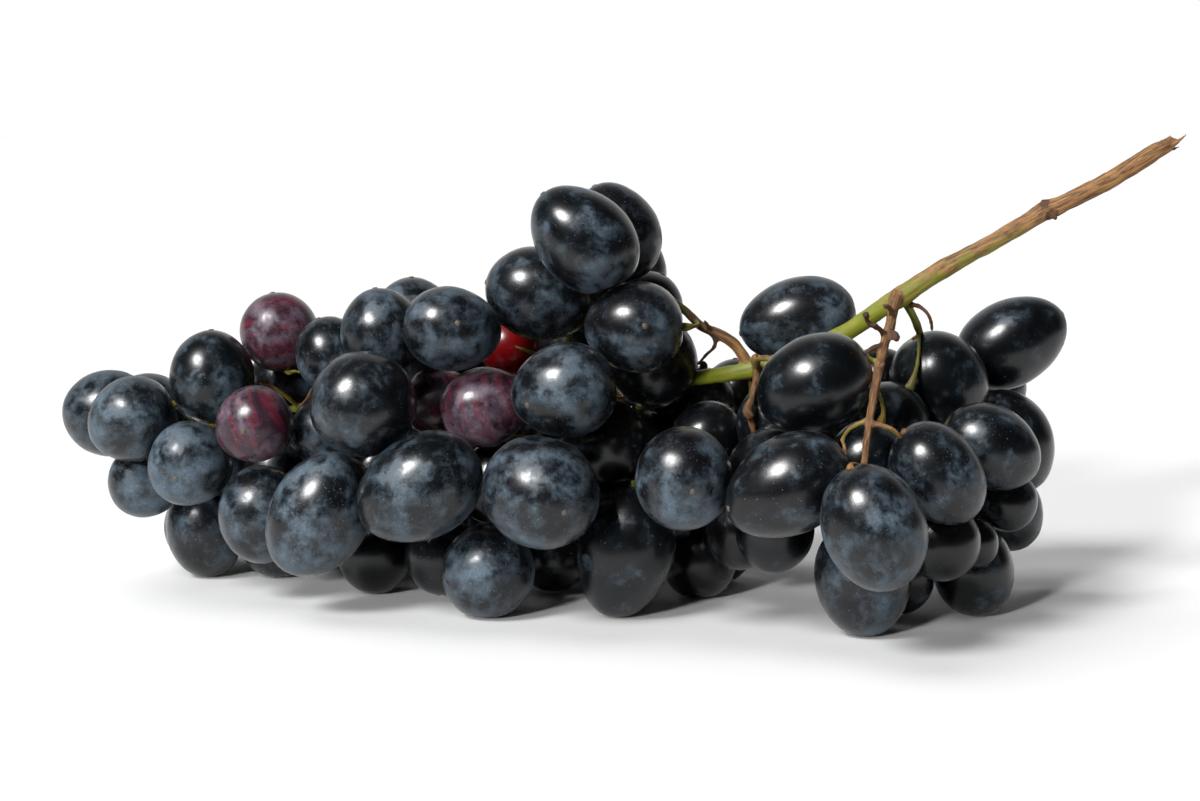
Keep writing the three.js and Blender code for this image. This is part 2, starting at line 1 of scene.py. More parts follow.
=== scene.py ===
import json
import math
import random
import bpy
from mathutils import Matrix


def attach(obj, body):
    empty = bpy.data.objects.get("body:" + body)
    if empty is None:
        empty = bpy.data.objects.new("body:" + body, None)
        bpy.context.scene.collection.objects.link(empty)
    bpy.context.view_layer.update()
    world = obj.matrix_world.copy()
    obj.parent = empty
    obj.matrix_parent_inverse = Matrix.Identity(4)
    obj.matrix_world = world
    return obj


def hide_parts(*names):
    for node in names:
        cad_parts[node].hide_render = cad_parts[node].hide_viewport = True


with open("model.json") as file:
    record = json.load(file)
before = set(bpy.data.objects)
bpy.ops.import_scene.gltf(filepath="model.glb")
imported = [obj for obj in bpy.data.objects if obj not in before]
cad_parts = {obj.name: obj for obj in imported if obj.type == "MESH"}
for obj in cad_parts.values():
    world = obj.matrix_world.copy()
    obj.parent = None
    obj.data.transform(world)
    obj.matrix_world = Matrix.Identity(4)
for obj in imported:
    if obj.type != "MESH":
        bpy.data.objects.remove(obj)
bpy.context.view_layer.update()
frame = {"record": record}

from types import SimpleNamespace

import bmesh
import bpy
from mathutils import Quaternion, Vector, geometry, kdtree, noise

# A bunch of dark table grapes lying on its side. Metres, +Z up.
# Columns and rows are of a 1200 x 801 picture, and depths and sizes are in millimetres.
MM = 0.001
PICTURE_WIDTH = 1200
MIDDLE_COLUMN = 600
MIDDLE_ROW = 400.5
EYE_DISTANCE = 520.0
MM_PER_PIXEL = 0.21
EYE_ELEVATION = math.radians(7)
AIM_HEIGHT = 46.3
FOCAL = EYE_DISTANCE / MM_PER_PIXEL
SENSOR_WIDTH = 36.0
CLIP_START = 0.01

# Edges of the floor, in metres
FLOOR_REACH = 6.0
FLOOR_FRONT = 0.17

# The sky: where it brightens behind the bunch, its strength in front and its share in the shadows
SKY_EDGE = 0.3
SKY_FRONT = 0.02
SOFT_SHADE = 0.45

# Brings the middle of the bunch's box to the model's origin
ORIGIN_SHIFT = Vector((2.1331, -9.8675, 0))

# How the berries settle against each other
SPRAY_PRESS = 1.2
CLEARANCE = 0.7
FLAT_DEPTH = 0.35
SETTLE_ROUNDS = 120
VISIBLE_DRIFT = 12.0
HIDDEN_DRIFT = 8.0
SIGHT_GAIN = 1.4

# Fine shape of a berry
BERRY_DETAIL = 5
HIDDEN_DETAIL = 4
SCAR_DETAIL = 3
LUMP_HEIGHT = 0.02
LUMP_SCALE = 1.1
FINE_LUMP_SHARE = 0.3
FINE_LUMP_SCALE = 2.9
FULLNESS = (-0.1, 0.03)
PRESS_BLEND = 1.3
PRESS_MARGIN = 0.04
TOUCHING = 0.8
SCAR_RADIUS = 0.62
SCAR_HEIGHT = 0.22
SCAR_HALO = 1.7
SCAR_UNEVENNESS = 0.25
SCAR_UNEVEN_SCALE = 2.5
USUAL_SCAR = Vector((0.05, 0.03, 1))
DIMPLE_DEPTH = 0.55
DIMPLE_WIDTH = 0.32

# Patterns on a skin: millimetres in one unit, and how far apart berries may draw theirs
PATTERN_UNIT = 10
PATTERN_RANGE = 40

# Bloom where no row gives it: fuller at the tip, with a spread from berry to berry
TIP_COLUMN = 100
BERRY_COLUMNS = 950
TIP_BLOOM = 0.5
BLOOM_FALL = 0.28
BLOOM_SPREAD = 0.15

# How bloom, wax dots and dust cover a skin, and how rough they leave it
BLOOM_GAIN = 0.26
SOFT_BLOOM = 0.45
CRISP_BLOOM = 0.6
THIN_HAZE = 0.012
BLOOM_OPACITY = 0.85
DOT_SCALE = 16.0
DOT_GAIN = 0.35
DOT_OPACITY = 0.5
DUST_SCALE = 38.0
DUST_GAIN = 0.4
DUST_OPACITY = 0.28
BARE_ROUGHNESS = 0.26
BLOOM_ROUGHNESS = 0.66
SCAR_ROUGHNESS = 0.3
GRAIN_BUMP = 0.3
CLOUD_BUMP = 1.5
STREAK_STRETCH = (0.9, 1.2, 4.5)

# Colours as red, green and blue from 0 to 255. A grape has its deep skin, a warmer one and bloom
DARK_GRAPE = ((5, 7, 9), (10, 8, 10), (93, 111, 125))
PURPLE_GRAPE = ((42, 24, 33), (52, 25, 34), (126, 114, 130))
RED_GRAPE = ((146, 8, 14), (166, 14, 20), (170, 70, 80))
STREAK = (98, 30, 46)
WAX_DOT = (190, 194, 196)
DUST = (176, 182, 186)
SCAR = (84, 74, 64)
ROUND_THE_SCAR = (96, 90, 80)
ROUND_THE_STALK = (92, 82, 52)
GREEN_DARK = (88, 98, 20)
GREEN_LIGHT = (150, 152, 50)
BARK_DARK = (60, 33, 16)
BARK_LIGHT = (178, 132, 80)
FURROW = (46, 32, 18)
DRY_BARK = (50, 24, 18)

# Twigs
PEDICEL_REACH = 15.0
HIDDEN_REACH = 22.0
PEDICEL_RADIUS = 0.55
PEDICEL_SWELL = 1.15
PEDICEL_FLARE = 1.25
PEDICEL_BEND = 0.35
PEDICEL_SINK = 0.5
PEDICEL_STEPS = 4
PEDICEL_WOOD = (0.2, 0.8)
TWIG_STEP = 0.8
ROOT_STEP = 2.5
DRY_STUB = 0.5
SPLINTER_TAPER = 0.8
SPLINTER_TIP = 0.25
TUBE_ROUNDNESS = 3
VOXEL = 0.4 * MM
SMOOTH_ROUNDS = 2
SMOOTH_SHARE = 0.5
ANY_NORMAL = Vector((0.3, 0.5, 0.8))

# Bark
BARK_HEIGHT = 0.26
BARK_SINK = 0.05
BARK_RANGE = 50
BARK_STRETCH = 0.1
RIDGES_ACROSS = 1.1
RIDGES_ALONG = 2
KNOB_HEIGHT = 0.1
KNOB_SCALE = 0.45
BROWN_ON_TOP = 0.22
BROWN_TILT = 0.2
NEAR_SAMPLES = 5

RNG = random.Random(7)


def grape(column, row, depth, wide, long, lean, facing=0, hidden=False, low=False, scar=None,
          bloom=None):
    """One berry: its middle in the picture, its depth, size and the lean of its long axis."""
    return SimpleNamespace(column=column, row=row, depth=depth, wide=wide, long=long, lean=lean,
                           facing=facing, hidden=hidden, low=low, scar=scar, bloom=bloom)


# The berries of each spray. Low ones rest on the ground, hidden ones lie behind others, and a scar
# is given where the picture shows it away from the berry's end.
# A bloom near 0 on the berries deep inside the bunch is partly their bare skin and partly painted shade: it
# keeps them dark where the inside of the bunch lies in shade.
BERRIES = {
    "berries_tip": [
        grape(109, 413, 44, 19.8, 21.0, 180, bloom=0.55),
        grape(132, 420, 26, 19.0, 19.8, 200, bloom=0.55),
        grape(145, 481, 38, 16.5, 17.0, 230),
        grape(189, 464, 22, 18.4, 18.8, 225, scar=(175, 480), bloom=0.68),
        grape(212, 377, 30, 18.7, 20.9, 90, bloom=0.26),
        grape(180, 425, 60, 18.0, 20.0, 150, hidden=True),
    ],
    "berries_left_low": [
        grape(206, 530, 42, 18.2, 22.2, 275, low=True, bloom=0.3),
        grape(262, 514, 16, 19.0, 21.6, 270, bloom=0.46),
        grape(278, 540, 40, 17.2, 17.6, 270, low=True, bloom=0.2),
        grape(285, 478, 32, 16.0, 17.0, 250, hidden=True),
        grape(225, 478, 44, 16.0, 17.5, 240, hidden=True),
    ],
    "berries_left_top": [
        grape(331, 353, 26, 15.9, 16.4, 110, bloom=0.44),
        grape(382, 331, 16, 18.2, 18.6, 100, bloom=0.34),
        grape(413, 318, 34, 17.9, 18.2, 95, bloom=0.4),
        grape(452, 329, 6, 17.8, 21.2, 352, scar=(458, 323), bloom=0.42),
    ],
    "berries_centre_left": [
        grape(328, 431, 18, 16.0, 17.0, 200, bloom=0.3),
        grape(363, 404, 3, 22.4, 22.6, 200, bloom=0.26),
        grape(320, 514, 4, 21.2, 28.4, 239, bloom=0.6),
        grape(375, 556, 23, 16.7, 17.4, 270, low=True, bloom=0.02),
        grape(419, 488, -4, 21.9, 28.1, 211, bloom=0.44),
        grape(443, 556, 14, 16.8, 17.2, 260, bloom=0.1),
        grape(375, 470, 24, 16.5, 18.0, 240, hidden=True, bloom=0.02),
    ],
    "berries_centre": [
        grape(541, 492, -12, 23.4, 26.4, 340, facing=50, scar=(565, 513), bloom=0.48),
        grape(488, 571, 0, 19.7, 20.4, 250, low=True, bloom=0.5),
        grape(553, 556, 27, 15.2, 16.0, 270, bloom=0.02),
        grape(625, 553, -4, 20.4, 28.5, 258, low=True, bloom=0.08),
        grape(684, 478, -14, 20.0, 21.3, 270, scar=(693, 492), bloom=0.4),
        grape(607, 443, 12, 18.0, 18.4, 300, bloom=0.02),
        grape(564, 391, -3, 20.0, 22.1, 190, scar=(526, 406), bloom=0.36),
        grape(602, 488, 16, 17.5, 19.5, 260, hidden=True, bloom=0.02),
        grape(525, 432, 26, 17.0, 19.0, 250, hidden=True, bloom=0.02),
        grape(500, 470, 18, 17.0, 18.5, 250, hidden=True, bloom=0.02),
    ],
    "berries_top": [
        grape(540, 294, 17, 20.0, 23.9, 165, bloom=0.34),
        grape(584, 239, 2, 19.8, 25.7, 135, bloom=0.32),
        grape(617, 232, 22, 18.4, 22.3, 115, bloom=0.4),
        grape(645, 309, 32, 16.5, 17.2, 60),
        grape(634, 327, 0, 19.1, 21.0, 180, scar=(645, 326), bloom=0.36),
        grape(652, 362, 18, 20.0, 20.4, 300, bloom=0.14),
        grape(590, 300, 36, 17.0, 18.5, 120, hidden=True),
    ],
    "berries_middle": [
        grape(707, 438, 6, 15.6, 16.4, 60, bloom=0.02),
        grape(737, 396, 40, 16.5, 17.0, 90, bloom=0.02),
        grape(697, 405, 36, 17.0, 17.6, 260, bloom=0.02),
        grape(699, 560, 17, 16.5, 17.4, 270, low=True, bloom=0.06),
        grape(648, 438, 30, 15.4, 16.6, 250, hidden=True, bloom=0.02),
        grape(672, 505, 12, 16.0, 18.0, 250, hidden=True, bloom=0.02),
    ],
    "berries_right_middle": [
        grape(768, 468, -4, 16.2, 17.6, 200, bloom=0.06),
        grape(787, 486, -24, 19.8, 26.3, 210, scar=(728, 509), bloom=0.24),
        grape(775, 530, -8, 16.5, 18.2, 260, bloom=0.08),
        grape(742, 532, 2, 15.6, 16.6, 250, bloom=0.08),
        grape(815, 384, -16, 20.0, 24.4, 205, bloom=0.02),
        grape(797, 320, 27, 18.5, 26.2, 193, bloom=0.4),
        grape(774, 426, 1, 16.0, 17.6, 260, bloom=0.05),
        grape(822, 440, 8, 16.0, 17.5, 260, hidden=True),
        grape(765, 520, 20, 16.0, 18.0, 270, hidden=True, bloom=0.02),
    ],
    "berries_right_rear": [
        grape(880, 386, 22, 16.6, 17.4, 120, bloom=0.02),
        grape(888, 424, 2, 17.3, 18.0, 240, bloom=0.12),
        grape(940, 384, 14, 20.7, 23.3, 300, bloom=0.1),
        grape(1012, 342, 28, 19.0, 25.7, 30, bloom=0.1),
        grape(1008, 442, 20, 19.6, 23.5, 300, bloom=0.14),
        grape(991, 447, -8, 17.2, 21.7, 331, bloom=0.28),
    ],
    "berries_right_front": [
        grape(938, 474, -27, 17.5, 22.7, 308, bloom=0.32),
        grape(866, 462, -10, 15.6, 17.6, 250),
        grape(874, 528, -40, 20.2, 25.6, 292, bloom=0.46),
        grape(863, 579, -21, 19.8, 24.2, 275, low=True, bloom=0.3),
        grape(941, 541, -14, 16.2, 16.5, 300, bloom=0.1),
        grape(1005, 500, 6, 13.6, 14.0, 320, bloom=0.1),
        grape(974, 543, -3, 10.4, 10.8, 300, bloom=0.08),
        grape(972, 568, 2, 17.3, 21.5, 285, low=True, bloom=0.12),
        grape(900, 575, 0, 15.0, 16.8, 265),
        grape(915, 505, 4, 16.0, 17.5, 270, hidden=True),
    ],
    "berries_back_left": [
        grape(235, 398, 52, 17.5, 20.0, 120, hidden=True),
        grape(300, 380, 50, 17.5, 19.5, 100, hidden=True),
        grape(207, 520, 60, 17.0, 19.0, 250, hidden=True, low=True),
        grape(268, 522, 58, 17.5, 20.0, 270, hidden=True),
        grape(255, 455, 60, 18.5, 21.0, 200, hidden=True),
        grape(325, 446, 60, 18.0, 22.0, 190, hidden=True),
        grape(338, 524, 50, 18.5, 20.5, 265, hidden=True, low=True),
        grape(330, 478, 44, 17.0, 19.0, 230, hidden=True),
    ],
    "berries_back_middle": [
        grape(362, 374, 50, 18.0, 20.5, 95, hidden=True),
        grape(437, 364, 50, 18.5, 20.0, 90, hidden=True),
        grape(392, 440, 60, 19.0, 22.5, 180, hidden=True),
        grape(470, 435, 60, 19.5, 22.0, 10, hidden=True),
        grape(412, 526, 50, 18.5, 21.0, 260, hidden=True, low=True),
        grape(487, 524, 50, 18.0, 22.0, 275, hidden=True),
        grape(510, 362, 54, 18.0, 20.0, 85, hidden=True),
        grape(450, 480, 42, 17.5, 19.0, 240, hidden=True),
    ],
    "berries_back_top": [
        grape(572, 342, 48, 18.5, 21.5, 90, hidden=True),
        grape(626, 290, 48, 17.5, 20.0, 75, hidden=True),
        grape(545, 420, 58, 18.5, 22.0, 0, hidden=True),
        grape(640, 368, 50, 18.0, 21.0, 60, hidden=True),
        grape(618, 440, 54, 19.0, 21.0, 350, hidden=True),
        grape(562, 526, 48, 18.0, 21.0, 270, hidden=True, low=True),
        grape(638, 518, 46, 18.0, 20.0, 280, hidden=True),
        grape(545, 480, 42, 17.5, 19.0, 260, hidden=True),
        grape(662, 420, 52, 17.5, 20.0, 300, hidden=True),
    ],
    "berries_back_right": [
        grape(697, 440, 56, 18.0, 21.0, 340, hidden=True),
        grape(772, 402, 54, 18.0, 20.5, 80, hidden=True),
        grape(712, 524, 40, 17.0, 20.0, 270, hidden=True, low=True),
        grape(782, 470, 42, 18.0, 21.0, 340, hidden=True),
        grape(845, 405, 42, 17.5, 20.5, 70, hidden=True),
        grape(855, 465, 36, 18.0, 21.0, 300, hidden=True),
    ],
    "berries_far_right": [
        grape(918, 412, 40, 17.5, 21.0, 60, hidden=True),
        grape(975, 395, 45, 17.5, 20.0, 20, hidden=True),
        grape(935, 468, 34, 18.0, 21.0, 300, hidden=True),
        grape(868, 528, 22, 17.5, 20.0, 270, hidden=True, low=True),
        grape(935, 524, 24, 17.5, 19.0, 280, hidden=True),
        grape(985, 488, 30, 17.0, 19.0, 300, hidden=True),
    ],
    "berry_purple_high": [
        grape(279, 332, 30, 17.5, 17.8, 100, bloom=0.4),
    ],
    "berry_purple_left": [
        grape(254, 424.5, 14, 16.4, 17.0, 210, scar=(243, 432), bloom=0.42),
    ],
    "berries_purple_middle": [
        grape(436, 402, 26, 15.4, 16.0, 195),
        grape(485, 407, 12, 17.2, 19.3, 15, bloom=0.5),
    ],
    "berry_red": [
        grape(508, 345, 34, 13.4, 14.6, 170, bloom=0.05),
    ],
}

# The stalk from its broken end inwards, as column, row, depth, radius and how woody it is
STALK = [
    (1178, 140, -8, 0.63, 1.0), (1168, 145, -8, 1.53, 1.0), (1150, 155, -8, 1.98, 1.0),
    (1110, 180, -6, 1.89, 1.0), (1060, 205, -4, 1.94, 0.85), (1045, 211, -3, 2.2, 0.8),
    (1032, 219, -3, 1.94, 0.62), (1000, 238, -2, 1.84, 0.55), (962, 259, -1, 1.89, 0.5),
    (945, 268, 0, 2.2, 0.5), (930, 277, 1, 2.02, 0.42), (900, 297, 2, 2.4, 0.36), (885, 306, 3, 2.07, 0.18),
    (845, 333, 8, 2.0, 0.0), (800, 352, 12, 1.95, 0.0), (760, 368, 14, 1.95, 0.0),
    (698, 378, 17, 1.75, 0.0), (650, 386, 27, 1.6, 0.0), (600, 390, 34, 1.44, 0.1),
    (500, 396, 36, 1.35, 0.1), (400, 402, 38, 1.17, 0.1), (300, 408, 40, 0.99, 0.0),
    (215, 419, 40, 0.81, 0.0),
]

# Twigs: places from the root outwards, radius at both ends, how woody and how dry they are
TWIGS = {
    "knuckle nub": ([(1047, 211, -4), (1053, 216, -5), (1057, 219, -5)], 0.85, 0.5, 1.0, 0.8),
    "knuckle ridge": ([(1049, 207, -3), (1045, 203, -3), (1041, 201, -4)], 0.9, 0.6, 1.0, 0.8),
    "bud scar": ([(950, 266, 0), (946, 262, 0), (942, 260, 0)], 0.9, 0.6, 0.9, 0.6),
    "shoulder arc": ([(752, 374, 15), (745, 360, 15), (735, 345, 15), (720, 335, 15), (700, 325, 16),
                      (683, 309, 17), (655, 292, 18), (610, 290, 20)],
                     1.55, 0.8, [0.5, 0.6, 0.85, 0.95, 0.8, 0.2, 0.0, 0.0], 0.12),
    "twig knob": ([(750, 404, -5), (747, 412, -7), (752, 418, -7)], 1.15, 0.9, 0.85, 0.65),
    "twig fork": ([(757, 364, 10), (754, 359, 7), (757, 356, 5)], 1.0, 0.8, 0.7, 0.2),
    "red pedicel": ([(546, 358, 30), (530, 352, 24), (514, 346, 24)], 0.6, 0.45, 0.3, 0.0),
    "arc nub": ([(716, 334, 16), (709, 327, 14), (704, 320, 13)], 0.7, 0.35, 0.9, 0.7),
    "hook under the arc": ([(712, 332, 16), (715, 345, 15), (706, 355, 15), (698, 364, 15)],
                           0.6, 0.45, 0.5, 0.9),
    "middle right twig": ([(757, 366, 13), (756, 380, 4), (752, 398, -4), (749, 412, -6),
                           (753, 428, -6), (756, 440, -5)], 0.95, 0.65, 0.8, 0.45),
    "pedicel to the right": ([(755, 372, 9), (757, 361, 3), (766, 358, -4), (780, 362, -9)],
                             0.8, 0.8, 0.5, 0.1),
    "front lateral": ([(898, 292, 2), (893, 310, -3), (889, 328, -8), (884, 345, -12), (879, 368, -17),
                       (874, 395, -23), (869, 425, -29), (866, 448, -34), (864, 466, -38)],
                      1.35, 0.8, 0.85, 0.3),
    "lateral nub": ([(877, 372, -18), (881, 366, -19), (885, 362, -19)], 0.7, 0.5, 0.9, 0.5),
    "front left pedicel": ([(871, 418, -28), (858, 424, -28), (848, 430, -27), (842, 440, -26)],
                           0.65, 0.55, 0.4, 0.1),
    "front right pedicel": ([(870, 422, -28), (880, 425, -30), (892, 429, -30), (902, 438, -29)],
                            0.65, 0.6, 0.6, 0.1),
    "dried stub high": ([(886, 338, -10), (878, 327, -12), (868, 322, -12), (866, 314, -13)],
                        0.75, 0.5, 0.8, 1.0),
    "dried stub tip": ([(867, 318, -13), (865, 312, -13)], 0.85, 0.75, 0.9, 1.0),
    "dried stub bead": ([(877, 328, -12), (873, 324, -13)], 0.8, 0.7, 0.9, 1.0),
    "dried stub near the knot": ([(893, 318, -5), (890, 308, -8), (884, 306, -9)], 0.7, 0.6, 0.8, 0.9),
    "stub to the left": ([(884, 345, -12), (875, 347, -14), (867, 352, -15)], 0.8, 0.6, 0.9, 0.95),
    "stub bead": ([(893, 333, -10), (897, 337, -12), (895, 341, -12)], 0.9, 0.75, 0.9, 1.0),
    "twig bead": ([(887, 352, -13), (884, 356, -14), (880, 354, -14)], 0.85, 0.7, 0.9, 1.0),
    "stub on the right": ([(888, 332, -9), (894, 334, -10), (899, 338, -11)], 0.7, 0.5, 0.9, 0.95),
    "rear lateral": ([(902, 297, 3), (911, 312, 5), (917, 325, 8), (921, 340, 14), (930, 385, 30),
                      (950, 425, 30), (945, 470, 16), (930, 520, 6)], 1.0, 0.8, 0.35, 0.05),
    "far right pedicel": ([(935, 400, 31), (962, 395, 34), (985, 400, 34)], 1.0, 0.9, 0.2, 0.0),
    "dark hook": ([(908, 304, 4), (920, 307, 2), (929, 316, 1), (932, 330, 3)], 0.65, 0.45, 0.9, 0.9),
    "right inner lateral": ([(845, 333, 8), (850, 370, 14), (845, 430, 14), (830, 480, 12)],
                            1.2, 0.9, 0.1, 0.0),
    "middle inner lateral": ([(751, 371, 15), (753, 388, 20), (750, 410, 24), (730, 450, 24), (715, 480, 22),
                              (705, 520, 18)], 1.1, 0.9, 0.5, 0.0),
    "centre inner lateral": ([(640, 387, 28), (640, 440, 30), (625, 490, 26)], 1.3, 0.9, 0.1, 0.0),
    "dark pedicel": ([(640, 387, 28), (634, 396, 34), (624, 402, 38), (606, 404, 38)], 1.7, 1.5, 0.9, 1.0),
    "centre low lateral": ([(540, 394, 35), (545, 440, 30), (525, 500, 28)], 1.3, 0.9, 0.1, 0.0),
    "left low lateral": ([(430, 400, 37), (420, 440, 34), (395, 490, 32)], 1.2, 0.9, 0.1, 0.0),
    "tip low lateral": ([(320, 407, 40), (315, 450, 38), (265, 500, 40)], 1.1, 0.8, 0.1, 0.0),
    "top lateral": ([(576, 391, 35), (566, 360, 37), (572, 320, 35)], 1.1, 0.8, 0.2, 0.0),
    "left top lateral": ([(470, 398, 37), (450, 370, 36), (415, 355, 34)], 1.1, 0.8, 0.2, 0.0),
    "tip pedicel": ([(215, 419, 40), (203, 420, 37), (190, 416, 35), (177, 406, 35)], 0.65, 0.65, 0.3, 0.0),
    "light pedicel": ([(300, 408, 40), (288, 398, 36), (275, 388, 33), (258, 379, 32)],
                      0.6, 0.6, 0.45, 0.0),
    "curled pedicel": ([(300, 408, 40), (312, 390, 36), (314, 378, 34), (300, 372, 33), (284, 371, 32)],
                       0.55, 0.4, 0.8, 0.2),
}
SPLINTERS = [
    ((1160, 149, -8), (1176, 143, -9), (1187, 134, -10), 0.7),
    ((1163, 151, -6), (1174, 149, -6), (1180, 146, -6), 0.55),
    ((1155, 146, -8), (1166, 139, -8), (1173, 134, -9), 0.5),
]


# Lines of sight

EYE = (0.0, -EYE_DISTANCE * math.cos(EYE_ELEVATION), AIM_HEIGHT + EYE_DISTANCE * math.sin(EYE_ELEVATION))


def sight_line(column, row):
    """Unit direction from the eye through a column and a row."""
    side = (column - MIDDLE_COLUMN) / FOCAL
    rise = (MIDDLE_ROW - row) / FOCAL
    line = (
        side,
        math.cos(EYE_ELEVATION) + math.sin(EYE_ELEVATION) * rise,
        -math.sin(EYE_ELEVATION) + math.cos(EYE_ELEVATION) * rise,
    )
    length = math.sqrt(sum(part * part for part in line))
    return tuple(part / length for part in line)


def place(column, row, depth):
    """Place on a line of sight at a depth, in millimetres."""
    line = sight_line(column, row)
    reached = (depth - EYE[1]) / line[1]
    return [EYE[axis] + reached * line[axis] for axis in range(3)]


def long_axis(lean, facing):
    turn = math.radians(lean)
    towards = math.radians(facing)
    return (
        math.cos(turn) * math.cos(towards),
        -math.sin(towards),
        math.sin(turn) * math.cos(towards),
    )


# Settling

def dot(one, other):
    return one[0] * other[0] + one[1] * other[1] + one[2] * other[2]


def reach(berry, direction):
    """Distance from a berry's middle to its skin along a unit direction."""
    along = dot(direction, berry.axis)
    across = (1 - along * along) / (berry.wide / 2) ** 2
    return 1 / math.sqrt((along / (berry.long / 2)) ** 2 + across)


def half_height(berry):
    rise = berry.axis[2]
    return math.sqrt((rise * berry.long / 2) ** 2 + (1 - rise * rise) * (berry.wide / 2) ** 2)


def lower_to_ground(berry):
    height = half_height(berry) - FLAT_DEPTH
    if berry.hidden:
        berry.middle[2] = height
        return
    reached = (height - EYE[2]) / berry.line[2]
    berry.middle = [EYE[axis] + reached * berry.line[axis] for axis in range(3)]


def lay_out():
    berries = []
    for spray, rows in BERRIES.items():
        for berry in rows:
            berry.spray = spray
            berry.axis = long_axis(berry.lean, berry.facing)
            berry.line = sight_line(berry.column, berry.row)
            berry.middle = place(berry.column, berry.row, berry.depth)
            if berry.low:
                lower_to_ground(berry)
            berry.start = list(berry.middle)
            berries.append(berry)
    return berries


def shove(berry, direction, amount):
    """Moves a hidden berry freely and the others only along their line of sight."""
    if berry.low and not berry.hidden:
        return
    if berry.hidden:
        way, step = direction, amount
    else:
        way, step = berry.line, dot(direction, berry.line) * amount * SIGHT_GAIN
    moved = [berry.middle[axis] + way[axis] * step for axis in range(3)]
    drift = [moved[axis] - berry.start[axis] for axis in range(3)]
    length = math.sqrt(dot(drift, drift))
    limit = HIDDEN_DRIFT if berry.hidden else VISIBLE_DRIFT
    if length > limit:
        moved = [berry.start[axis] + drift[axis] / length * limit for axis in range(3)]
    lowest = half_height(berry) - FLAT_DEPTH
    if berry.hidden and (berry.low or moved[2] < lowest):
        moved[2] = lowest
    berry.middle = moved


def settle(berries):
    """Pushes overlapping neighbours apart until they only press lightly on each other."""
    for _ in range(SETTLE_ROUNDS):
        for first, one in enumerate(berries):
            for other in berries[first + 1:]:
                between = [other.middle[axis] - one.middle[axis] for axis in range(3)]
                spare = -SPRAY_PRESS if one.spray == other.spray else CLEARANCE
                square = dot(between, between)
                widest = (one.long + other.long) / 2 + spare
                if square >= widest * widest:
                    continue
                distance = math.sqrt(square)
                way = [part / distance for part in between]
                wanted = reach(one, way) + reach(other, way) + spare
                if distance < wanted:
                    half = (wanted - distance) / 2
                    shove(one, way, -half)
                    shove(other, way, half)


# Objects

def added(name, data):
    """A new object in the scene."""
    thing = bpy.data.objects.new(name, data)
    bpy.context.scene.collection.objects.link(thing)
    return thing


def made_mesh(holder):
    """The mesh that an object's curve or modifiers make. The object itself goes."""
    bpy.context.view_layer.update()
    evaluated = holder.evaluated_get(bpy.context.evaluated_depsgraph_get())
    mesh = bpy.data.meshes.new_from_object(evaluated)
    bpy.data.objects.remove(holder)
    return mesh


def tree_of(spots):
    """Finds the nearest of many places."""
    tree = kdtree.KDTree(len(spots))
    for index, spot in enumerate(spots):
        tree.insert(spot, index)
    tree.balance()
    return tree


# Berries

def half_size(berry):
    return Vector((berry.wide / 2, berry.wide / 2, berry.long / 2))


def touching_planes(berry, berries):
    """Flat places where neighbours and the ground press on a berry: a point and a direction."""
    planes = []
    middle = Vector(berry.middle)
    for other in berries:
        if other is berry:
            continue
        way = Vector(other.middle) - middle
        distance = way.length
        way.normalize()
        own = reach(berry, way)
        theirs = reach(other, way)
        if distance < own + theirs + TOUCHING:
            planes.append((middle + way * (distance * own / (own + theirs) - PRESS_MARGIN), way))
    planes.append((Vector((0, 0, 0)), Vector((0, 0, -1))))
    return planes


def pressed(spot, planes):
    """Moves a place on the skin back behind each flat place, with a rounded edge."""
    for point, way in planes:
        beyond = (spot - point).dot(way)
        if beyond > -PRESS_BLEND:
            blend = max(PRESS_BLEND - abs(beyond), 0) / PRESS_BLEND
            spot = spot + way * (min(beyond, 0) - blend * blend * PRESS_BLEND / 4 - beyond)
    return spot


def scar_direction(berry):
    """Unit direction from a berry's middle to its blossom scar, in the berry's own frame."""
    if berry.scar is None:
        return USUAL_SCAR.normalized()
    line = Vector(sight_line(*berry.scar))
    start = Vector(EYE) - Vector(berry.middle)
    inverse = berry.turn.inverted()
    size = half_size(berry)
    start = inverse @ start
    line = inverse @ line
    start = Vector(start[axis] / size[axis] for axis in range(3))
    line = Vector(line[axis] / size[axis] for axis in range(3))
    square, half, rest = line.dot(line), start.dot(line), start.dot(start) - 1
    inside = max(half * half - square * rest, 0)
    return (start + line * ((-half - math.sqrt(inside)) / square)).normalized()


def skin_height(unit, berry):
    """How far out the skin lies, as a share of the half size: slight lumps and one fuller end."""
    coarse = noise.noise(unit * LUMP_SCALE + berry.seed)
    fine = noise.noise(unit * FINE_LUMP_SCALE + berry.seed)
    fullness = 1 + berry.fullness * unit.z * (1 - unit.z * unit.z)
    return fullness + LUMP_HEIGHT * coarse + LUMP_HEIGHT * FINE_LUMP_SHARE * fine


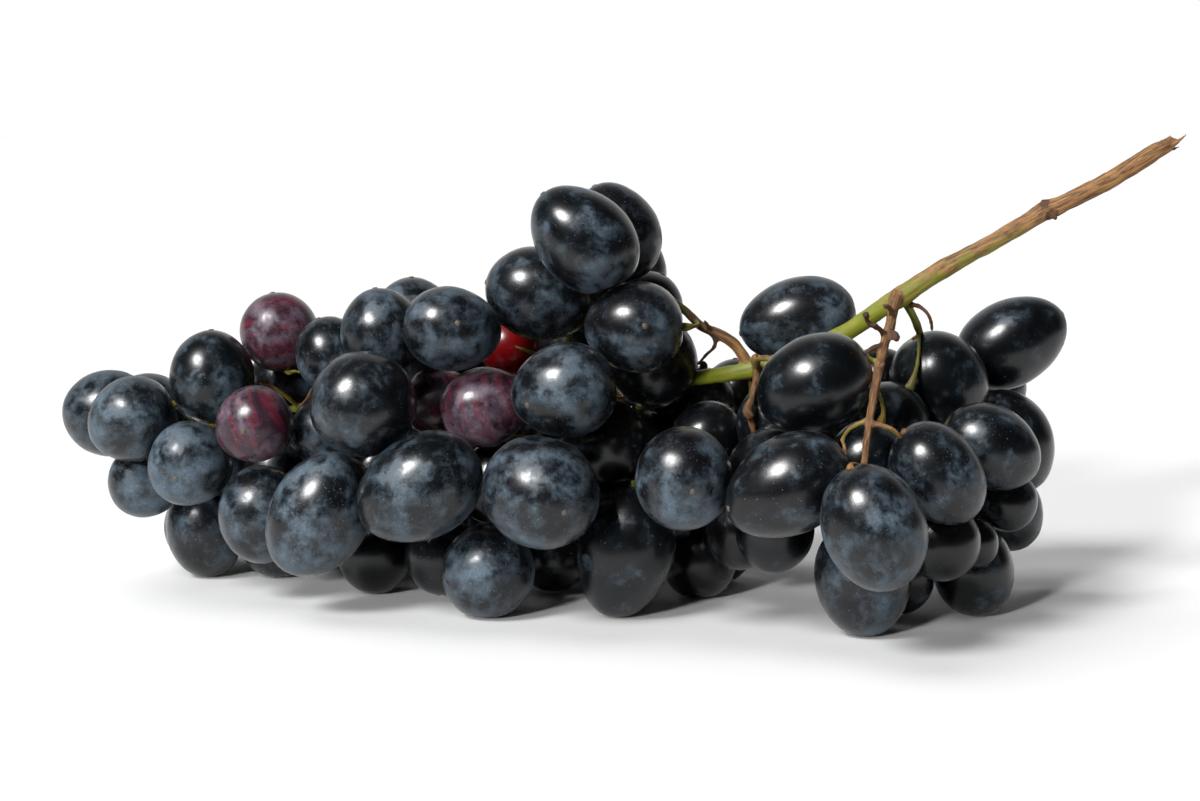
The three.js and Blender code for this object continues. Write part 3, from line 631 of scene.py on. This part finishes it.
def berry_mesh(bm, layers, berry, berries):
    """Adds one berry with its scar to a spray's mesh."""
    size = half_size(berry)
    planes = touching_planes(berry, berries)
    scar = scar_direction(berry)
    middle = Vector(berry.middle)
    detail = HIDDEN_DETAIL if berry.hidden else BERRY_DETAIL
    made = bmesh.ops.create_icosphere(bm, subdivisions=detail, radius=1)
    for vert in made["verts"]:
        unit = vert.co.normalized()
        local = Vector(unit[axis] * size[axis] for axis in range(3)) * skin_height(unit, berry)
        off_stalk = math.hypot(unit.x, unit.y) / DIMPLE_WIDTH
        if unit.z < 0 and off_stalk < 1:
            local.z += DIMPLE_DEPTH * (1 - off_stalk) ** 2
        vert.co = pressed(middle + berry.turn @ local, planes)
        from_scar = (unit - scar).length * berry.wide / 2 / SCAR_HALO
        from_stalk = max(1 - off_stalk, 0) if unit.z < 0 else 0
        vert[layers.tone] = (berry.bloom, berry.shade, max(1 - from_scar, 0), from_stalk)
        vert[layers.place] = local / PATTERN_UNIT + berry.seed
        vert[layers.scar] = 0
    ring = bmesh.ops.create_icosphere(bm, subdivisions=SCAR_DETAIL, radius=1)
    lift = Vector(scar[axis] * size[axis] for axis in range(3)) * skin_height(scar, berry)
    outward = Vector(scar[axis] / size[axis] for axis in range(3)).normalized()
    tilt = Vector((0, 0, 1)).rotation_difference(outward)
    for vert in ring["verts"]:
        unit = vert.co.normalized()
        uneven = noise.noise(unit * SCAR_UNEVEN_SCALE + berry.seed)
        swell = SCAR_RADIUS * (1 + SCAR_UNEVENNESS * uneven)
        bump = Vector((unit.x * swell, unit.y * swell, unit.z * SCAR_HEIGHT))
        vert.co = pressed(middle + berry.turn @ (lift + tilt @ bump), planes)
        vert[layers.tone] = (0, berry.shade, 1, 0)
        vert[layers.place] = (lift + bump) / PATTERN_UNIT + berry.seed
        vert[layers.scar] = 1


def finish_berry(berry):
    """Draws what differs from berry to berry."""
    berry.turn = Vector((0, 0, 1)).rotation_difference(Vector(berry.axis))
    berry.turn = berry.turn @ Quaternion((0, 0, 1), RNG.uniform(0, math.tau))
    berry.seed = Vector([RNG.uniform(-PATTERN_RANGE, PATTERN_RANGE) for _ in range(3)])
    berry.fullness = RNG.uniform(*FULLNESS)
    berry.shade = RNG.uniform(0, 1)
    across = (berry.column - TIP_COLUMN) / BERRY_COLUMNS
    drawn = TIP_BLOOM - BLOOM_FALL * across + RNG.uniform(-BLOOM_SPREAD, BLOOM_SPREAD)
    if berry.bloom is None:
        berry.bloom = drawn


def spray_piece(spray, berries, material):
    bm = bmesh.new()
    layers = SimpleNamespace(
        tone=bm.verts.layers.float_color.new("berry_tone"),
        place=bm.verts.layers.float_vector.new("berry_place"),
        scar=bm.verts.layers.float.new("berry_scar"),
    )
    for berry in berries:
        if berry.spray == spray:
            berry_mesh(bm, layers, berry, berries)
    for vert in bm.verts:
        vert.co = (vert.co + ORIGIN_SHIFT) * MM
    for face in bm.faces:
        face.smooth = True
    mesh = bpy.data.meshes.new(spray.replace("berr", "grape_berr"))
    bm.to_mesh(mesh)
    bm.free()
    mesh.materials.append(material)
    piece = added(mesh.name, mesh)
    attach(piece, "root")
    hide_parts(spray)


# Stalk

def smooth_route(places):
    """Places on a smooth line through the given ones, each with how far along it lies from 0 to 1."""
    points = [Vector(spot) for spot in places]
    route = []
    for index in range(len(points) - 1):
        one, two = points[index], points[index + 1]
        before = points[max(index - 1, 0)]
        after = points[min(index + 2, len(points) - 1)]
        length = (two - one).length
        lead = (two - before).normalized() * length / 3
        trail = (after - one).normalized() * length / 3
        count = max(2, math.ceil(length / TWIG_STEP)) + 1
        stretch = geometry.interpolate_bezier(one, one + lead, two - trail, two, count)
        for step, spot in enumerate(stretch[:-1]):
            route.append((spot, index + step / (count - 1)))
    route.append((points[-1], len(points) - 1))
    return route


def run_of(route, radii, woods, dry):
    """Samples of one twig, with a frame that follows it, for its tube and its colours."""
    samples = []
    gone = RNG.uniform(0, BARK_RANGE)
    normal = ANY_NORMAL
    for index, (spot, share) in enumerate(route):
        ahead = route[min(index + 1, len(route) - 1)][0] - route[max(index - 1, 0)][0]
        way = ahead.normalized()
        normal = (normal - way * normal.dot(way)).normalized()
        if index:
            gone += (spot - route[index - 1][0]).length
        knot = min(int(share), len(radii) - 2)
        part = share - knot
        samples.append(SimpleNamespace(
            spot=spot, way=way, normal=normal, side=way.cross(normal), gone=gone, dry=dry,
            radius=radii[knot] * (1 - part) + radii[knot + 1] * part,
            wood=woods[knot] * (1 - part) + woods[knot + 1] * part,
        ))
    return samples


def even(start, end, count):
    return [start + (end - start) * index / (count - 1) for index in range(count)]


def pedicel_run(berry, roots):
    """Short bent pedicel from the nearest twig to a berry's stalk end."""
    axis = Vector(berry.axis)
    foot = Vector(berry.middle) - axis * (berry.long / 2 - PEDICEL_SINK)
    _, index, distance = roots.tree.find(foot)
    if distance > (HIDDEN_REACH if berry.hidden else PEDICEL_REACH):
        return None
    root = roots.spots[index]
    knee = foot - axis * distance * PEDICEL_BEND
    route = []
    count = max(PEDICEL_STEPS, math.ceil(distance / TWIG_STEP))
    for step in range(count + 1):
        part = step / count
        spot = root * (1 - part) ** 2 + knee * 2 * part * (1 - part) + foot * part ** 2
        route.append((spot, part * 3))
    radii = [PEDICEL_RADIUS, PEDICEL_RADIUS, PEDICEL_RADIUS * PEDICEL_SWELL, PEDICEL_FLARE]
    wood = RNG.uniform(*PEDICEL_WOOD)
    return run_of(route, radii, [wood] * 4, 0)


def stalk_runs(berries):
    places = [place(column, row, depth) for column, row, depth, _, _ in STALK]
    radii = [radius for _, _, _, radius, _ in STALK]
    woods = [wood for _, _, _, _, wood in STALK]
    runs = [run_of(smooth_route(places), radii, woods, 0)]
    for spots, outer, inner, wood, dry in TWIGS.values():
        places = [place(*spot) for spot in spots]
        count = len(places)
        woods = wood if isinstance(wood, list) else [wood] * count
        runs.append(run_of(smooth_route(places), even(outer, inner, count), woods, dry))
    stride = round(ROOT_STEP / TWIG_STEP)
    spots = [sample.spot for run in runs if run[0].dry < DRY_STUB for sample in run[::stride]]
    roots = SimpleNamespace(tree=tree_of(spots), spots=spots)
    pedicels = [pedicel_run(berry, roots) for berry in berries]
    runs.extend(run for run in pedicels if run)
    for root, bend, tip, radius in SPLINTERS:
        places = [place(*root), place(*bend), place(*tip)]
        radii = [radius, radius * SPLINTER_TAPER, SPLINTER_TIP]
        runs.append(run_of(smooth_route(places), radii, [1] * 3, 0))
    return runs


def tubes(runs):
    """One mesh of closed round tubes, one for each run."""
    curve = bpy.data.curves.new("stalk_runs", "CURVE")
    curve.dimensions = "3D"
    curve.bevel_depth = MM
    curve.bevel_resolution = TUBE_ROUNDNESS
    curve.use_fill_caps = True
    for run in runs:
        spline = curve.splines.new("POLY")
        spline.points.add(len(run) - 1)
        for point, sample in zip(spline.points, run):
            point.co = (*((sample.spot + ORIGIN_SHIFT) * MM), 1)
            point.radius = sample.radius
    mesh = made_mesh(added("stalk_runs", curve))
    bpy.data.curves.remove(curve)
    return mesh


def grown_together(mesh):
    """The tubes as one skin, with rounded forks."""
    holder = added("stalk_skin", mesh)
    remesh = holder.modifiers.new("One skin", "REMESH")
    remesh.mode = "VOXEL"
    remesh.voxel_size = VOXEL
    return made_mesh(holder)


def stalk_piece(berries, material):
    runs = stalk_runs(berries)
    samples = [sample for run in runs for sample in run]
    tree = tree_of([sample.spot for sample in samples])
    mesh = grown_together(tubes(runs))
    bm = bmesh.new()
    bm.from_mesh(mesh)
    for _ in range(SMOOTH_ROUNDS):
        bmesh.ops.smooth_vert(bm, verts=bm.verts, factor=SMOOTH_SHARE, use_axis_x=True,
                              use_axis_y=True, use_axis_z=True)
    bm.normal_update()
    tone = bm.verts.layers.float_color.new("stalk_tone")
    grain = bm.verts.layers.float_vector.new("stalk_grain")
    for vert in bm.verts:
        spot = vert.co / MM - ORIGIN_SHIFT
        near = [samples[index] for _, index, _ in tree.find_n(spot, NEAR_SAMPLES)]
        sample = min(near, key=lambda one: (one.spot - spot).length - one.radius)
        offset = spot - sample.spot
        along = sample.gone * BARK_STRETCH
        around = Vector((offset.dot(sample.normal), offset.dot(sample.side), along))
        ridge = noise.noise(
            Vector((around.x * RIDGES_ACROSS, around.y * RIDGES_ACROSS, around.z * RIDGES_ALONG))
        )
        knob = noise.noise(spot * KNOB_SCALE)
        height = BARK_HEIGHT * sample.wood * ridge + KNOB_HEIGHT * knob - BARK_SINK
        lit = BROWN_ON_TOP * (vert.normal.z + BROWN_TILT) * (1 - abs(2 * sample.wood - 1))
        vert.co += vert.normal * height * MM
        vert[tone] = (min(max(sample.wood + lit, 0), 1), sample.dry, 0.5 + 0.5 * ridge, 1)
        vert[grain] = around
    for face in bm.faces:
        face.smooth = True
    bm.to_mesh(mesh)
    bm.free()
    mesh.name = "grape_stalk"
    mesh.materials.clear()
    mesh.materials.append(material)
    piece = added("grape_stalk", mesh)
    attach(piece, "root")
    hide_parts("stem")


# Materials

class Finish:
    """A material's nodes, made one after another."""

    def __init__(self, name):
        self.material = bpy.data.materials.new(name)
        self.material.use_nodes = True
        self.tree = self.material.node_tree
        self.shader = self.tree.nodes["Principled BSDF"]

    def node(self, kind, settings=None, **inputs):
        node = self.tree.nodes.new(kind)
        for name, value in (settings or {}).items():
            setattr(node, name, value)
        for name, value in inputs.items():
            self.put(node.inputs[name.replace("_", " ")], value)
        return node

    def put(self, socket, value):
        if isinstance(value, bpy.types.NodeSocket):
            self.tree.links.new(value, socket)
        else:
            socket.default_value = value

    def noise(self, vector, scale, detail, rough, distortion=0.0):
        node = self.node("ShaderNodeTexNoise", Vector=vector, Scale=scale, Detail=detail,
                         Roughness=rough, Distortion=distortion)
        return node.outputs["Fac"]

    def ramp(self, value, low, high, start=0.0, end=1.0):
        """Goes smoothly from start to end while the value goes from low to high."""
        node = self.node("ShaderNodeMapRange", {"interpolation_type": "SMOOTHSTEP"})
        for socket, part in zip(node.inputs, (value, low, high, start, end)):
            self.put(socket, part)
        return node.outputs[0]

    def maths(self, operation, one, other):
        node = self.node("ShaderNodeMath", {"operation": operation})
        self.put(node.inputs[0], one)
        self.put(node.inputs[1], other)
        return node.outputs[0]

    def times(self, one, other):
        return self.maths("MULTIPLY", one, other)

    def plus(self, one, other):
        return self.maths("ADD", one, other)

    def blend(self, factor, one, other):
        node = self.node("ShaderNodeMix", {"data_type": "RGBA"})
        for socket, value in zip((node.inputs[0], node.inputs[6], node.inputs[7]), (factor, one, other)):
            self.put(socket, value)
        return node.outputs[2]

    def attribute(self, name):
        return self.node("ShaderNodeAttribute", {"attribute_name": name})

    def shade(self, **inputs):
        for name, value in inputs.items():
            self.put(self.shader.inputs[name.replace("_", " ")], value)


def colour(red, green, blue):
    """Linear colour from one that is written as 0 to 255."""
    parts = []
    for part in (red / 255, green / 255, blue / 255):
        parts.append(part / 12.92 if part <= 0.04045 else ((part + 0.055) / 1.055) ** 2.4)
    return (*parts, 1.0)


def grape_skin(name, colours, streaks=0.0):
    """Glossy skin under cloudy bloom that is rubbed off in places."""
    finish = Finish(name)
    deep, deep_warm, bloom = (colour(*part) for part in colours)
    place_of = finish.attribute("berry_place").outputs["Vector"]
    tone = finish.attribute("berry_tone")
    parts = finish.node("ShaderNodeSeparateColor", Color=tone.outputs["Color"])
    amount, shade, near_scar = parts.outputs[0], parts.outputs[1], parts.outputs[2]
    near_stalk = tone.outputs["Alpha"]
    scar = finish.attribute("berry_scar").outputs["Fac"]
    clouds = finish.noise(place_of, scale=0.9, detail=3.0, rough=0.6, distortion=0.4)
    patches = finish.noise(place_of, scale=2.1, detail=8.0, rough=0.64, distortion=0.25)
    scuffs = finish.noise(place_of, scale=3.1, detail=6.0, rough=0.62, distortion=0.15)
    grain = finish.noise(place_of, scale=24.0, detail=5.0, rough=0.75)
    level = finish.times(finish.plus(clouds, patches), 0.5)
    level = finish.plus(level, finish.times(amount, BLOOM_GAIN))
    soft = finish.ramp(level, 0.46, 0.95)
    crisp = finish.ramp(level, 0.56, 0.75)
    cover = finish.plus(finish.times(soft, SOFT_BLOOM), finish.times(crisp, CRISP_BLOOM))
    cover = finish.times(cover, finish.ramp(scuffs, 0.3, 0.56, 0.15, 1.0))
    cover = finish.times(cover, finish.ramp(grain, 0.32, 0.66, 0.55, 1.05))
    haze = finish.ramp(patches, 0.3, 0.7, 0.0, THIN_HAZE)
    cover = finish.maths("MAXIMUM", cover, haze)
    skin = finish.blend(finish.ramp(shade, 0.2, 1.0, 0.0, 0.8), deep, deep_warm)
    if streaks:
        drawn = finish.node("ShaderNodeVectorMath", {"operation": "MULTIPLY"})
        finish.put(drawn.inputs[0], place_of)
        finish.put(drawn.inputs[1], STREAK_STRETCH)
        lines = finish.noise(drawn.outputs[0], scale=1.2, detail=5.0, rough=0.6, distortion=0.5)
        drawn_over = finish.ramp(lines, 0.46, 0.64, 0.0, streaks)
        skin = finish.blend(drawn_over, skin, colour(*STREAK))
    skin = finish.blend(finish.times(cover, BLOOM_OPACITY), skin, bloom)
    cells = finish.node("ShaderNodeTexVoronoi", Vector=place_of, Scale=DOT_SCALE)
    dots = finish.ramp(cells.outputs["Distance"], 0.06, 0.16, 1.0, 0.0)
    few = finish.node("ShaderNodeSeparateColor", Color=cells.outputs["Color"]).outputs[0]
    few = finish.plus(few, finish.times(amount, DOT_GAIN))
    dots = finish.times(dots, finish.ramp(few, 0.9, 1.0))
    skin = finish.blend(finish.times(dots, DOT_OPACITY), skin, colour(*WAX_DOT))
    dust = finish.node("ShaderNodeTexVoronoi", Vector=place_of, Scale=DUST_SCALE)
    specks = finish.ramp(dust.outputs["Distance"], 0.1, 0.3, 1.0, 0.0)
    many = finish.node("ShaderNodeSeparateColor", Color=dust.outputs["Color"]).outputs[0]
    many = finish.plus(many, finish.times(amount, DUST_GAIN))
    specks = finish.times(specks, finish.ramp(many, 0.95, 1.15, 0.0, DUST_OPACITY))
    skin = finish.blend(specks, skin, colour(*DUST))
    scar_ring = finish.ramp(near_scar, 0.35, 0.9, 0.0, 0.35)
    skin = finish.blend(scar_ring, skin, colour(*ROUND_THE_SCAR))
    stalk_ring = finish.ramp(near_stalk, 0.2, 0.8, 0.0, 0.7)
    skin = finish.blend(stalk_ring, skin, colour(*ROUND_THE_STALK))
    skin = finish.blend(scar, skin, colour(*SCAR))
    rough = finish.ramp(cover, 0.0, 0.7, BARE_ROUGHNESS, BLOOM_ROUGHNESS)
    rough = finish.plus(rough, finish.times(scar, SCAR_ROUGHNESS))
    height = finish.plus(finish.times(grain, GRAIN_BUMP), finish.times(clouds, CLOUD_BUMP))
    bump = finish.node("ShaderNodeBump", Strength=0.35, Distance=0.00012, Height=height)
    finish.shade(Base_Color=skin, Roughness=rough, Normal=bump.outputs["Normal"])
    finish.shade(IOR=1.45, Coat_Weight=0.08, Coat_Roughness=0.16, Coat_IOR=1.45)
    finish.shade(Sheen_Weight=0.03, Sheen_Roughness=0.3, Sheen_Tint=(0.62, 0.74, 0.85, 1))
    return finish


def dark_skin():
    return grape_skin("dark_grape_skin", DARK_GRAPE).material


def red_skin():
    finish = grape_skin("red_grape_skin", RED_GRAPE, streaks=0.2)
    finish.shade(Subsurface_Weight=0.5, Subsurface_Radius=(1.0, 0.12, 0.08), Subsurface_Scale=0.004)
    return finish.material


def purple_skin():
    finish = grape_skin("purple_grape_skin", PURPLE_GRAPE, streaks=0.75)
    finish.shade(Subsurface_Weight=0.06, Subsurface_Radius=(1.0, 0.3, 0.25), Subsurface_Scale=0.002)
    return finish.material


def stalk_skin():
    """Green stalk that turns to brown fibrous bark and to dark dried stubs."""
    finish = Finish("stalk_skin")
    grain_of = finish.attribute("stalk_grain").outputs["Vector"]
    tone = finish.attribute("stalk_tone")
    parts = finish.node("ShaderNodeSeparateColor", Color=tone.outputs["Color"])
    wood, dry, ridge = parts.outputs[0], parts.outputs[1], parts.outputs[2]
    place_of = finish.node("ShaderNodeTexCoord").outputs["Object"]
    fibres = finish.noise(grain_of, scale=2.2, detail=6.0, rough=0.7, distortion=0.3)
    blots = finish.noise(place_of, scale=260.0, detail=5.0, rough=0.6)
    green = finish.blend(blots, colour(*GREEN_DARK), colour(*GREEN_LIGHT))
    bark = finish.blend(finish.ramp(fibres, 0.3, 0.74), colour(*BARK_DARK), colour(*BARK_LIGHT))
    edge = finish.plus(wood, finish.ramp(blots, 0.3, 0.7, -0.22, 0.22))
    skin = finish.blend(finish.ramp(edge, 0.15, 0.75), green, bark)
    skin = finish.blend(finish.ramp(ridge, 0.15, 0.5, 0.35, 0.0), skin, colour(*FURROW))
    skin = finish.blend(finish.times(dry, 0.85), skin, colour(*DRY_BARK))
    rough = finish.ramp(wood, 0.0, 1.0, 0.42, 0.75)
    bump = finish.node("ShaderNodeBump", Strength=0.6, Distance=0.0004, Height=fibres)
    finish.shade(Base_Color=skin, Roughness=rough, Normal=bump.outputs["Normal"])
    finish.shade(IOR=1.45)
    return finish.material


def floor_finish():
    finish = Finish("pale_floor")
    finish.shade(Base_Color=(0.94, 0.94, 0.94, 1), Roughness=0.75, IOR=1.3)
    return finish.material


# Studio

def lay_floor():
    """Level floor that ends in front of the bunch, outside the picture."""
    bm = bmesh.new()
    corners = [(-FLOOR_REACH, -FLOOR_FRONT), (FLOOR_REACH, -FLOOR_FRONT),
               (FLOOR_REACH, FLOOR_REACH), (-FLOOR_REACH, FLOOR_REACH)]
    bm.faces.new([bm.verts.new((x, y, 0)) for x, y in corners])
    mesh = bpy.data.meshes.new("floor")
    bm.to_mesh(mesh)
    bm.free()
    mesh.materials.append(floor_finish())
    floor = added("floor", mesh)


def soft_light(name, azimuth, elevation, softness, power, glossy=True, diffuse=True):
    """Soft light from a direction: degrees to the left of the eye, degrees up and degrees across."""
    light = bpy.data.lights.new(name, "SUN")
    light.angle = math.radians(softness)
    light.energy = power
    holder = added(name, light)
    turn, rise = math.radians(azimuth), math.radians(elevation)
    level = math.cos(rise)
    way = Vector((-math.sin(turn) * level, -math.cos(turn) * level, math.sin(rise)))
    holder.rotation_euler = (-way).to_track_quat("-Z", "Y").to_euler()
    holder.visible_glossy = glossy
    holder.visible_diffuse = diffuse


def set_world():
    """White to the camera, bright behind the bunch and dimmer in front of it for the reflections."""
    world = bpy.data.worlds.new("studio")
    bpy.context.scene.world = world
    world.use_nodes = True
    nodes, links = world.node_tree.nodes, world.node_tree.links
    nodes.clear()
    way = nodes.new("ShaderNodeTexCoord")
    split = nodes.new("ShaderNodeSeparateXYZ")
    links.new(way.outputs["Generated"], split.inputs[0])
    fade = nodes.new("ShaderNodeMapRange")
    links.new(split.outputs["Y"], fade.inputs[0])
    for socket, value in zip(fade.inputs[1:5], (SKY_EDGE, 1.0, SKY_FRONT, 1.0)):
        socket.default_value = value
    path = nodes.new("ShaderNodeLightPath")
    level = nodes.new("ShaderNodeMath")
    level.operation = "MAXIMUM"
    links.new(fade.outputs[0], level.inputs[0])
    links.new(path.outputs["Is Camera Ray"], level.inputs[1])
    dimming = nodes.new("ShaderNodeMapRange")
    links.new(path.outputs["Is Diffuse Ray"], dimming.inputs[0])
    dimming.inputs["To Min"].default_value = 1.0
    dimming.inputs["To Max"].default_value = SOFT_SHADE
    shaded = nodes.new("ShaderNodeMath")
    shaded.operation = "MULTIPLY"
    links.new(level.outputs[0], shaded.inputs[0])
    links.new(dimming.outputs[0], shaded.inputs[1])
    glow = nodes.new("ShaderNodeBackground")
    glow.inputs["Color"].default_value = (1, 1, 1, 1)
    links.new(shaded.outputs[0], glow.inputs["Strength"])
    out = nodes.new("ShaderNodeOutputWorld")
    links.new(glow.outputs[0], out.inputs["Surface"])


def set_camera():
    camera = bpy.data.cameras.new("camera")
    camera.sensor_width = SENSOR_WIDTH
    camera.sensor_fit = "HORIZONTAL"
    camera.lens = FOCAL / PICTURE_WIDTH * SENSOR_WIDTH
    camera.clip_start = CLIP_START
    holder = added("camera", camera)
    holder.location = (Vector(EYE) + ORIGIN_SHIFT) * MM
    holder.rotation_euler = (math.pi / 2 - EYE_ELEVATION, 0, 0)
    bpy.context.scene.camera = holder


BUNCH = lay_out()
settle(BUNCH)
for one_berry in BUNCH:
    finish_berry(one_berry)

set_camera()
set_world()
lay_floor()
soft_light("key", azimuth=42, elevation=41, softness=20, power=2.5)
soft_light("glint", azimuth=42, elevation=41, softness=20, power=4.2, diffuse=False)
soft_light("front light", azimuth=27, elevation=16, softness=6, power=2.6, glossy=False)
soft_light("top light", azimuth=118, elevation=60, softness=40, power=1.2, glossy=False)
bpy.context.scene.view_settings.view_transform = "Standard"

FINISHES = {"dark_skin": dark_skin(), "purple_skin": purple_skin(), "red_skin": red_skin()}
SLOTS = {entry["node"]: entry["material_slot"] for entry in frame["record"]["subparts"]}
for spray_name in BERRIES:
    slot_name = SLOTS[spray_name]
    spray_piece(spray_name, BUNCH, FINISHES[slot_name])
stalk_piece(BUNCH, stalk_skin())
